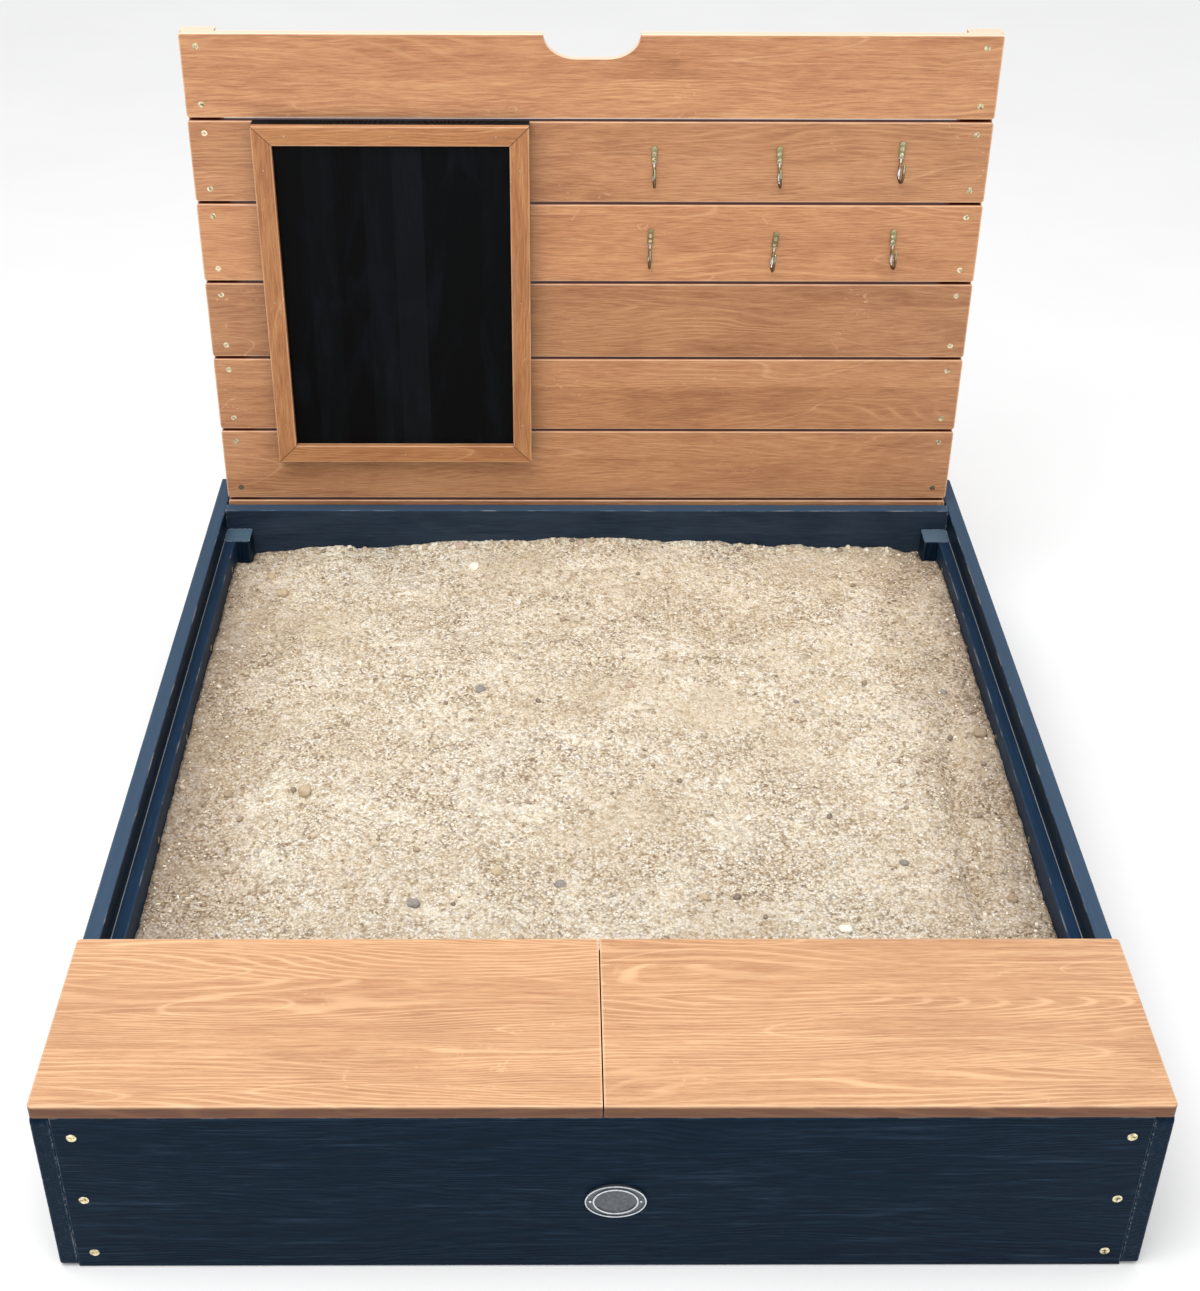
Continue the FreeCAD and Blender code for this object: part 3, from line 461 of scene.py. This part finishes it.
def sand_material(name, rng):
    """Coarse sand: grains with a colour each, painted shade between the grains, paler dry patches, painted
    shade towards the side walls and painted light towards the back.
    """
    made = Material(name)
    grain_far, grain_colour = made.cells(made.scaled(made.place, (1, 1, 1)), 330.0)
    grit_far, grit_colour = made.cells(made.scaled(made.place, (1, 1, 1), random_shift(rng)), 150.0)
    one, two, _ = made.separate(grain_colour)
    three, _, _ = made.separate(grit_colour)
    colour = made.ramp(one, (0.0, tone(138, 114, 88)), (0.16, tone(208, 190, 160)),
                       (0.5, tone(246, 234, 208)), (0.82, tone(255, 250, 234)), (0.97, tone(255, 255, 250)))
    grit = made.ramp(three, (0.0, tone(110, 90, 72)), (0.12, tone(214, 198, 168)),
                     (0.6, tone(248, 236, 212)), (1.0, tone(255, 252, 240)))
    colour = made.mix(0.42, colour, grit)
    settled = made.pattern(rng, (10, 10, 10), 4.0, 0.65, 0.6)
    coarse = made.ramp(settled, (0.40, 0.35), (0.60, 1.0))
    dark = made.math("MULTIPLY", made.ramp(two, (0.86, 0.0), (0.94, 0.8)), coarse)
    colour = made.mix(dark, colour, tone(104, 82, 60))
    # Painted shade: darker between the grains, where the bumps of the grains are lowest.
    between_grain_shade = made.math("MULTIPLY", made.ramp(grain_far, (0.30, 0.0), (0.80, 0.7)), coarse)
    colour = made.mix(between_grain_shade, colour, tone(138, 110, 76))
    patches = made.pattern(rng, (7, 7, 7), 4.0, 0.6)
    colour = made.mix(made.ramp(patches, (0.3, 0.5), (0.52, 0.0)), colour, tone(208, 188, 158))
    colour = made.mix(made.ramp(patches, (0.55, 0.0), (0.8, 0.5)), colour, tone(238, 230, 216))
    x, y, _ = made.separate(made.place)
    wander = made.pattern(rng, (16, 7, 7), 4.0, 0.6)
    swerve = made.math("MULTIPLY", made.math("SUBTRACT", wander, 0.5), 0.16)
    aside = made.math("ADD", made.math("ABSOLUTE", x), swerve)
    # Painted shade: the sand is multiplied darker towards the side walls, where their shadow falls.
    wall_shade = made.ramp(made.math("MULTIPLY", aside, 2.0), (0.72, WHITE), (0.88, tone(232, 226, 222)),
                     (0.98, tone(200, 192, 188)))
    colour = made.mix(1.0, colour, wall_shade, "MULTIPLY")
    # Painted light: the sand is darker towards the front and paler towards the back, lifting it where the
    # back wall would shade it.
    ahead = made.ramp(made.math("ADD", y, 0.4), (0.0, tone(232, 231, 232)), (0.45, tone(246, 246, 247)),
                      (0.85, WHITE))
    colour = made.mix(1.0, colour, ahead, "MULTIPLY")
    relief = made.bump(made.math("SUBTRACT", 1.0, grain_far), 0.9, 1.2 * MM)
    relief = made.bump(made.math("SUBTRACT", 1.0, grit_far), 0.7, 2.0 * MM, relief)
    made.set(Base_Color=colour, Roughness=made.math("ADD", 0.78, made.math("MULTIPLY", one, 0.2)),
             Normal=relief, Specular_IOR_Level=0.25)
    return made.data


def stone_material(name, rng, *stops):
    """Stones of a colour each, speckled and a little dusty."""
    made = Material(name)
    island = made.node("ShaderNodeNewGeometry").outputs["Random Per Island"]
    colour = made.ramp(island, *[(position, tone(*shade)) for position, shade in stops])
    speckle = made.pattern(rng, (700, 700, 700), 3.0, 0.7)
    colour = made.mix(made.ramp(speckle, (0.40, 0.0), (0.7, 0.45)), colour, tone(214, 198, 170))
    made.set(Base_Color=colour, Roughness=made.math("ADD", 0.55, made.math("MULTIPLY", speckle, 0.35)),
             Normal=made.bump(speckle, 0.5, 0.4 * MM), Specular_IOR_Level=0.3)
    return made.data


def woven(name, rng):
    """Black woven ground cloth: two crossing sets of flat tapes."""
    made = Material(name)
    x, y, _ = made.separate(made.place)
    tape = 2.4 * MM
    waves = [made.math("SINE", made.math("MULTIPLY", run, 2 * math.pi / tape)) for run in (x, y)]
    weave = made.math("MULTIPLY", *waves)
    dust = made.pattern(rng, (60, 60, 60), 4.0)
    colour = made.ramp(weave, (0.2, tone(26, 27, 28)), (0.8, tone(46, 47, 48)))
    colour = made.mix(made.ramp(dust, (0.45, 0.0), (0.8, 0.4)), colour, tone(150, 138, 118))
    made.set(Base_Color=colour, Roughness=0.8, Normal=made.bump(weave, 0.5, 0.3 * MM))
    return made.data


# ---------------------------------------------------------------- the CAD pieces' finishes
def finish_node(name, material):
    """Gives a CAD node its finish in every material slot."""
    slots = NODES[name].data.materials
    if not slots:
        slots.append(material)
    for n in range(len(slots)):
        slots[n] = material


def finish_cad():
    """A finish of its own for every wooden node, and shared finishes for the metal."""
    rng = random.Random(7)
    shared = {
        # The yellow zinc's dark patches leave bright spots that stand in for glints on the screws: painted
        # highlights.
        "yellow_zinc": plated("yellow_zinc", rng, (250, 238, 200), (112, 92, 56), 0.20, 0.95),
        "steel": plated("steel", rng, (196, 196, 198), (140, 138, 134)),
        "badge_metal": badge_metal(rng),
    }
    slots = {s["node"]: s["material_slot"] for s in frame["record"]["subparts"]}
    for name in sorted(NODES):
        low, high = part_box(name)
        size = high - low
        axis = max(range(3), key=lambda k: size[k])
        across = sorted(range(3), key=lambda k: size[k])[1]
        kind = slots[name]
        if kind in shared:
            finish_node(name, shared[kind])
        elif kind == "hook_brass":
            finish_node(name, hook_metal(name, low, high, rng))
        elif kind == "painted_pine":
            finish_node(name, painted_pine(name, low, high, rng, axis, across))
        elif kind == "chalkboard_black":
            finish_node(name, blackboard(name, low, high, rng))
        elif name.startswith("seat_lid"):
            finish_node(name, lid_pine(name, low, high, rng, axis, across))
        elif kind == "stained_pine":
            finish_node(name, slat_pine(name, low, high, rng, axis, across))


# ---------------------------------------------------------------- sand
def value_noise(x, y, cell, seed):
    """Smooth noise from -1 to 1 on arrays of places, with lumps about one cell wide."""
    rng = np.random.default_rng(seed)
    table = rng.uniform(-1, 1, (97, 89))
    u, v = x / cell + 1000, y / cell + 1000
    i, j = np.floor(u).astype(int), np.floor(v).astype(int)
    s, t = u - i, v - j
    s, t = s * s * (3 - 2 * s), t * t * (3 - 2 * t)
    rows, columns = table.shape
    corner = [table[(i + di) % rows, (j + dj) % columns] for di in (0, 1) for dj in (0, 1)]
    near = corner[0] * (1 - t) + corner[1] * t
    far = corner[2] * (1 - t) + corner[3] * t
    return near * (1 - s) + far * s


def bell(x, y, x0, y0, width, depth):
    """A smooth hill of height 1 at x0, y0."""
    return np.exp(-((x - x0) / width) ** 2 - ((y - y0) / depth) ** 2)


def sand_level(x, y):
    """The height of the sand's surface above the ground."""
    back = SAND_HIGH.y
    level = 0.1515 + 0.0125 * bell(x, y, 0.0, back + 0.02, 0.19, 0.16)
    level += 0.0070 * bell(x, y, 0.47, back - 0.22, 0.16, 0.2) + 0.004 * bell(x, y, -0.1, 0.1, 0.3, 0.3)
    level -= 0.0110 * (bell(x, y, -0.47, back, 0.05, 0.05) + bell(x, y, 0.47, back, 0.05, 0.05))
    trough = LEDGE_INNER - 0.060 + 0.012 * np.sin(y * 9)
    level -= 0.0085 * np.exp(-((x - trough) / 0.014) ** 2) / (1 + np.exp((y - 0.16) / 0.05))
    level += 0.0035 * value_noise(x, y, 0.105, 1) + 0.0024 * value_noise(x, y, 0.043, 2)
    level += 0.0016 * value_noise(x, y, 0.019, 3) + 0.0011 * value_noise(x, y, 0.0085, 4)
    rough = 0.5 + 0.5 * value_noise(x, y, 0.07, 5)
    level += (0.0005 + 0.0009 * rough) * value_noise(x, y, 0.0045, 6)
    return level


def in_post(x, y):
    """True where a rear corner post stands."""
    return abs(x) > -POST_LEFT[1].x and y > POST_LEFT[0].y


def mesh_object(name, verts, faces, material, smooth=False):
    """A mesh object with one material."""
    mesh = bpy.data.meshes.new(name)
    mesh.from_pydata(verts, [], faces)
    mesh.materials.append(material)
    mesh.polygons.foreach_set("use_smooth", [smooth] * len(mesh.polygons))
    made = bpy.data.objects.new(name, mesh)
    bpy.context.scene.collection.objects.link(made)
    return made


def sand_bed(material):
    """The sand as one closed body: a lumpy top, and sides that run under the ledges to the ground sheet."""
    play = 0.4 * MM
    step = 3.3 * MM
    half, front, back = LEDGE_INNER - play, SAND_LOW.y + play, SAND_HIGH.y - play
    xs = np.linspace(-half, half, round(2 * half / step))
    ys = np.linspace(front, back, round((back - front) / step))
    grid_x, grid_y = np.meshgrid(xs, ys)
    level = sand_level(grid_x, grid_y)
    verts = np.stack([grid_x, grid_y, level], axis=-1).reshape(-1, 3)
    wide = len(xs)
    faces = []
    for j in range(len(ys) - 1):
        for i in range(wide - 1):
            if not in_post((xs[i] + xs[i + 1]) / 2, (ys[j] + ys[j + 1]) / 2):
                k = j * wide + i
                faces.append((k, k + 1, k + 1 + wide, k + wide))
    bed = mesh_object("sand_bed", verts.tolist(), faces, material, smooth=True)
    form = bmesh.new()
    form.from_mesh(bed.data)
    bmesh.ops.delete(form, geom=[v for v in form.verts if not v.link_faces], context="VERTS")
    rim = [e for e in form.edges if e.is_boundary]
    outer = SAND_HIGH.x - play
    ledge, ground = LEDGE_FOOT - play, SAND_LOW.z + play
    for height, spread in ((ledge, False), (ledge, True), (ground, False)):
        added = bmesh.ops.extrude_edge_only(form, edges=rim)["geom"]
        for vert in (g for g in added if isinstance(g, bmesh.types.BMVert)):
            vert.co.z = height
            if spread and abs(vert.co.x) > half - MM and vert.co.y < POST_LEFT[0].y - MM:
                vert.co.x = math.copysign(outer, vert.co.x)
        rim = [g for g in added if isinstance(g, bmesh.types.BMEdge)]
    bmesh.ops.edgeloop_fill(form, edges=rim)
    bmesh.ops.recalc_face_normals(form, faces=form.faces)
    form.to_mesh(bed.data)
    form.free()
    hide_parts("sand_fill")
    return bed


def stone_shape(level):
    """The points and faces of a unit ball, to be made into stones."""
    form = bmesh.new()
    bmesh.ops.create_icosphere(form, subdivisions=level, radius=1.0)
    points = [v.co.copy() for v in form.verts]
    faces = [tuple(v.index for v in f.verts) for f in form.faces]
    form.free()
    return points, faces


def stones(name, material, level, places, smooth, slender=1.0):
    """One mesh of many stones, each (x, y, size, flatness, seed), sunk a little into the sand.

    slender stretches them along their own length.
    """
    points, faces = stone_shape(level)
    all_points = []
    all_faces = []
    for x, y, size, flat, seed in places:
        rng = random.Random(seed)
        turn = Matrix.Rotation(rng.uniform(0, 6.28), 3, "Z")
        turn = turn @ Matrix.Rotation(rng.uniform(-0.5, 0.5), 3, "X")
        length = size * slender * rng.uniform(0.9, 1.25)
        stretch = Vector((length, size * rng.uniform(0.75, 1.0), size * flat))
        shift = Vector((rng.uniform(-9, 9), rng.uniform(-9, 9), seed % 97))
        centre = Vector((x, y, float(sand_level(np.array(x), np.array(y))) + size * flat * 0.35))
        first = len(all_points)
        for p in points:
            lump = 1 + 0.28 * noise.noise(p * 1.3 + shift) + 0.1 * noise.noise(p * 3.1 + shift)
            all_points.append(centre + turn @ (p * stretch) * lump)
        all_faces += [tuple(first + k for k in f) for f in faces]
    return mesh_object(name, all_points, all_faces, material, smooth)


def scattered(count, small, large, seed, edge_margin, depth=SAND_HIGH.y - SAND_LOW.y):
    """Random places for stones on the sand, clear of the posts and ledges, within depth of its back."""
    rng = random.Random(seed)
    places = []
    while len(places) < count:
        x = rng.uniform(-LEDGE_INNER + edge_margin, LEDGE_INNER - edge_margin)
        y = rng.uniform(SAND_HIGH.y - depth + edge_margin, SAND_HIGH.y - edge_margin)
        size = small + (large - small) * rng.random() ** 3
        if not in_post(x + math.copysign(edge_margin, x), y + edge_margin):
            places.append((x, y, size, rng.uniform(0.55, 0.95), rng.randrange(10 ** 6)))
    return places


# The largest pebbles of each colour, in metres from the frame's origin: x, y, half size, flatness.
PEBBLES = {
    "pink": ((184, 158, 144), (
        (-0.18, 0.50, 0.008, 0.8), (-0.01, 0.50, 0.005, 0.7), (0.05, 0.16, 0.005, 0.6))),
    "beige": ((184, 164, 134), (
        (-0.42, 0.39, 0.009, 0.7), (-0.34, -0.06, 0.008, 0.8), (-0.11, -0.20, 0.007, 0.6),
        (-0.44, 0.43, 0.006, 0.6), (0.12, -0.24, 0.006, 0.6))),
    "white": ((246, 240, 226), (
        (0.27, -0.29, 0.008, 0.5), (-0.16, 0.45, 0.008, 0.5), (0.18, -0.10, 0.004, 0.6),
        (-0.30, 0.22, 0.004, 0.6))),
    "brown": ((146, 124, 104), (
        (0.48, 0.06, 0.009, 0.7), (0.46, -0.24, 0.006, 0.6), (-0.43, -0.06, 0.006, 0.6))),
    "grey": ((124, 120, 120), (
        (-0.20, -0.25, 0.008, 0.6), (-0.04, -0.22, 0.006, 0.6), (-0.14, 0.15, 0.007, 0.5),
        (0.45, 0.15, 0.005, 0.6), (0.35, -0.18, 0.005, 0.6), (0.26, 0.13, 0.004, 0.6))),
}


def make_sand():
    """The sand with its grit, chips, gravel and pebbles, all on the box."""
    rng = random.Random(21)
    dry = (0.0, (150, 126, 100)), (0.2, (206, 188, 158)), (0.6, (238, 226, 204)), (1.0, (255, 250, 238))
    mixed = (0.0, (112, 98, 92)), (0.22, (164, 142, 120)), (0.5, (210, 192, 164)), (1.0, (246, 238, 222))
    grit = scattered(6500, 0.7 * MM, 2.4 * MM, 31, 3 * MM)
    chips = scattered(3200, 0.6 * MM, 1.3 * MM, 33, 5 * MM)
    gravel = scattered(480, 1.6 * MM, 4.4 * MM, 32, 6 * MM)
    gravel += scattered(240, 1.4 * MM, 5.0 * MM, 34, 6 * MM, 0.026)
    pieces = [sand_bed(sand_material("sand", rng)),
              stones("sand_grit", stone_material("grit", rng, *dry), 1, grit, False),
              stones("sand_chips", stone_material("chips", rng, *dry), 1, chips, False, 2.6),
              stones("sand_gravel", stone_material("gravel", rng, *mixed), 2, gravel, True)]
    for kind, (shade, places) in PEBBLES.items():
        pale = tuple(min(255, c + 14) for c in shade)
        material = stone_material(f"pebble_{kind}", rng, (0.0, shade), (1.0, pale))
        seeded = [(*place, 40 + n) for n, place in enumerate(places)]
        pieces.append(stones(f"pebbles_{kind}", material, 4, seeded, True))
    for piece in pieces:
        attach(piece, "box")


# ---------------------------------------------------------------- ground sheet
def ground_cloth():
    """The woven cloth under the sand, laid flat and cut out around the rear posts."""
    low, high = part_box("ground_sheet")
    play = 0.3 * MM
    post_x, post_y = -POST_LEFT[1].x - play, POST_LEFT[0].y - play
    cuts_x = [low.x + play, high.x - play, -post_x, post_x]
    cuts_x = sorted(cuts_x + [post_x * k / 12 for k in range(-11, 12)])
    cuts_y = [low.y + play, high.y - play, post_y]
    cuts_y = sorted(cuts_y + [low.y + (post_y - low.y) * k / 20 for k in range(1, 20)])
    rng = random.Random(5)
    verts = [(x, y, rng.uniform(0.15, 0.25) * MM) for y in cuts_y for x in cuts_x]
    wide = len(cuts_x)
    faces = []
    for j in range(len(cuts_y) - 1):
        for i in range(wide - 1):
            if not in_post((cuts_x[i] + cuts_x[i + 1]) / 2, (cuts_y[j] + cuts_y[j + 1]) / 2):
                k = j * wide + i
                faces.append((k, k + 1, k + 1 + wide, k + wide))
    cloth = mesh_object("ground_cloth", verts, faces, woven("ground_cloth", rng))
    form = bmesh.new()
    form.from_mesh(cloth.data)
    bmesh.ops.delete(form, geom=[v for v in form.verts if not v.link_faces], context="VERTS")
    form.to_mesh(cloth.data)
    form.free()
    skin = cloth.modifiers.new("thickness", "SOLIDIFY")
    skin.thickness = 0.6 * MM
    skin.offset = 1.0
    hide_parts("ground_sheet")
    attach(cloth, "box")


# ---------------------------------------------------------------- camera, floor and light
def make_camera():
    """The camera a little left of the middle, at eye height, looking down into the box."""
    data = bpy.data.cameras.new("camera")
    data.sensor_width = 36
    data.lens = 52.97
    data.shift_x = 0.0232
    data.clip_start, data.clip_end = 0.05, 50
    camera = bpy.data.objects.new("camera", data)
    bpy.context.scene.collection.objects.link(camera)
    bpy.context.scene.camera = camera
    pitch, yaw, roll = 0.5891, 0.0085, 0.0053
    ahead = Vector((math.sin(yaw) * math.cos(pitch), math.cos(yaw) * math.cos(pitch), -math.sin(pitch)))
    right = ahead.cross(Vector((0, 0, 1))).normalized()
    right = Matrix.Rotation(-roll, 3, ahead) @ right
    up = right.cross(ahead)
    camera.matrix_world = Matrix.Translation((-0.0433, -1.8265, 1.546)) @ Matrix(
        (right, up, -ahead)).transposed().to_4x4()


def make_floor():
    """A pale floor that is wide enough for every view."""
    made = Material("floor")
    speck = made.noise(made.scaled(made.place, (3, 3, 3)), 1.0, 3.0)
    made.set(Base_Color=made.ramp(speck, (0.3, 0.86), (0.7, 0.88)), Roughness=0.9, Specular_IOR_Level=0.1,
             Emission_Color=(1.0, 1.0, 1.0, 1.0), Emission_Strength=0.06)
    size = 24.0
    floor = mesh_object("floor", [(-size, -size, -0.0005), (size, -size, -0.0005), (size, size, -0.0005),
                                  (-size, size, -0.0005)], [(0, 1, 2, 3)], made.data)


def area_light(name, power, size, place, target):
    """A square soft light that shines from place towards target."""
    data = bpy.data.lights.new(name, "AREA")
    data.energy = power
    data.shape = "SQUARE"
    data.size = size
    lamp = bpy.data.objects.new(name, data)
    bpy.context.scene.collection.objects.link(lamp)
    lamp.location = place
    lamp.rotation_euler = (Vector(target) - Vector(place)).to_track_quat("-Z", "Y").to_euler()


def make_light():
    """A sky that is bright overhead and dimmer at the horizon, and one large soft light above the front.

    Seen directly, the sky has the plain pale tone of the floor.
    """
    world = bpy.data.worlds.new("studio")
    bpy.context.scene.world = world
    world.use_nodes = True
    tree = world.node_tree
    way = tree.nodes.new("ShaderNodeTexCoord").outputs["Generated"]
    split = tree.nodes.new("ShaderNodeSeparateXYZ")
    tree.links.new(way, split.inputs[0])
    ramp = tree.nodes.new("ShaderNodeValToRGB")
    tree.links.new(split.outputs["Z"], ramp.inputs["Fac"])
    ramp.color_ramp.elements[0].position = 0.02
    ramp.color_ramp.elements[0].color = (0.40, 0.42, 0.44, 1.0)
    ramp.color_ramp.elements[1].position = 0.65
    ramp.color_ramp.elements[1].color = (1.0, 1.0, 1.0, 1.0)
    direct = tree.nodes.new("ShaderNodeLightPath").outputs["Is Camera Ray"]
    shown = tree.nodes.new("ShaderNodeMix")
    shown.data_type = "RGBA"
    tree.links.new(direct, shown.inputs[0])
    tree.links.new(ramp.outputs["Color"], shown.inputs[6])
    shown.inputs[7].default_value = (0.86, 0.86, 0.87, 1.0)
    background = tree.nodes["Background"]
    tree.links.new(shown.outputs[2], background.inputs["Color"])
    background.inputs["Strength"].default_value = 0.95
    area_light("overhead", 62.0, 2.2, (-0.5, -1.0, 3.0), (0, 0.1, 0.2))
    bpy.context.scene.view_settings.view_transform = "Standard"


make_camera()
finish_cad()
make_sand()
ground_cloth()
make_floor()
make_light()
